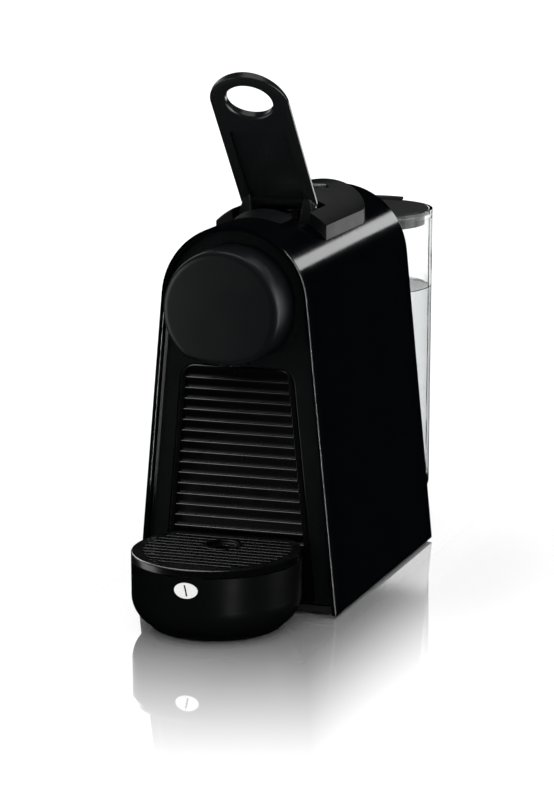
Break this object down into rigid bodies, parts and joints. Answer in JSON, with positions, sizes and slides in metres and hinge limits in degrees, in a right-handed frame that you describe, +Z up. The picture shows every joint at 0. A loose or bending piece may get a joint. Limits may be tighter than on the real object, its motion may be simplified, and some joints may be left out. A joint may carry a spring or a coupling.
{
  "type": "pod coffee machine",
  "caption": "Slim capsule coffee machine with an arch-shaped shell, raised brewing lever, round head, louvred pull-out capsule container, drip tray and clear lift-off water tank.",
  "frame": {"origin": "on the table, under the centre of the machine's box", "axes": "+Z up, -Y to the front where the cup stands, +Y to the water tank, +X to the right seen from the front"},
  "size_m": [0.1098, 0.325, 0.2767],
  "materials": {
    "gloss_shell": "gloss",
    "satin_black": "satin",
    "black_inner": "matte",
    "lip_grey": "satin",
    "button_black": "satin",
    "clear_tank": "clear",
    "white_plastic": "matte",
    "rubber_black": "matte",
    "hose_clear": "satin",
    "cast_heater": "cast",
    "steel": "brushed",
    "board_green": "satin",
    "board_dark": "matte",
    "badge_metal": "satin"
  },
  "bodies": {
    "housing": {"outer_shell": "gloss_shell", "front_panel": "satin_black", "rear_panel": "black_inner", "base_plate": "black_inner", "base_screws": "steel", "rubber_feet": "rubber_black", "tank_dock": "black_inner", "dock_seal": "rubber_black", "top_deck": "satin_black", "slot_lip": "lip_grey", "capsule_guide": "black_inner", "head_drum": "satin_black", "coffee_outlet": "black_inner", "coffee_channel": "black_inner", "brew_frame": "white_plastic", "capsule_cage": "cast_heater", "cage_seal": "rubber_black", "piercing_blades": "steel", "thermoblock": "cast_heater", "thermostat": "steel", "inlet_pipe": "steel", "pump": "white_plastic", "pump_mounts": "rubber_black", "pump_brackets": "steel", "flow_meter": "white_plastic", "control_board": "board_green", "board_parts": "board_dark", "suction_hose": "hose_clear", "transfer_hose": "hose_clear", "pressure_hose": "hose_clear", "button_board": "board_green", "button_switches": "board_dark", "cord_gland": "black_inner"},
    "lever": {"lever_arm": "satin_black", "lever_liner": "black_inner", "lever_pins": "steel", "right_crank": "steel", "left_crank": "steel"},
    "brew_slide": {"brew_carriage": "white_plastic", "extraction_plate": "steel", "coffee_spout_tube": "white_plastic"},
    "espresso_key": {"espresso_button": "button_black", "espresso_spring": "steel"},
    "lungo_key": {"lungo_button": "button_black", "lungo_spring": "steel"},
    "tank": {"water_tank": "clear_tank", "valve_housing": "white_plastic"},
    "tank_valve": {"valve_plunger": "white_plastic", "valve_spring": "steel"},
    "lid": {"tank_lid": "black_inner"},
    "container": {"louvre_front": "satin_black", "capsule_container": "black_inner", "container_grate": "black_inner"},
    "tray": {"drip_tray": "satin_black", "tray_badge": "badge_metal"},
    "grid": {"drip_grid": "satin_black"}
  },
  "joints": [
    {"name": "lever_hinge", "type": "hinge", "parent": "housing", "child": "lever", "pos_m": [0, -0.0243, 0.1935], "axis": [1, 0, 0], "range_deg": [-40, 52]},
    {"name": "carriage_slide", "type": "slide", "parent": "housing", "child": "brew_slide", "axis": [0, 1, 0], "range_m": [-0.0131, 0.017]},
    {"name": "espresso_press", "type": "slide", "parent": "housing", "child": "espresso_key", "axis": [0, 0, -1], "range_m": [0, 0.0012], "stiffness_N_per_m": 900, "deforming": ["espresso_spring"]},
    {"name": "lungo_press", "type": "slide", "parent": "housing", "child": "lungo_key", "axis": [0, 0, -1], "range_m": [0, 0.0012], "stiffness_N_per_m": 900, "deforming": ["lungo_spring"]},
    {"name": "tank_lift", "type": "slide", "parent": "housing", "child": "tank", "axis": [0, 0, 1], "range_m": [0, 0.12]},
    {"name": "valve_press", "type": "slide", "parent": "tank", "child": "tank_valve", "axis": [0, 0, 1], "range_m": [0, 0.0025], "stiffness_N_per_m": 300, "deforming": ["valve_spring"]},
    {"name": "lid_lift", "type": "slide", "parent": "tank", "child": "lid", "axis": [0, 0, 1], "range_m": [0, 0.05]},
    {"name": "container_pull", "type": "slide", "parent": "housing", "child": "container", "axis": [0, -1, 0], "range_m": [0, 0.1]},
    {"name": "tray_pull", "type": "slide", "parent": "container", "child": "tray", "axis": [0, -1, 0], "range_m": [0, 0.06]},
    {"name": "grid_lift", "type": "slide", "parent": "tray", "child": "grid", "axis": [0, 0, 1], "range_m": [0, 0.04]}
  ],
  "couplings": [
    {"joint": "carriage_slide", "follows": "lever_hinge", "m_per_rad": 0.0181}
  ]
}
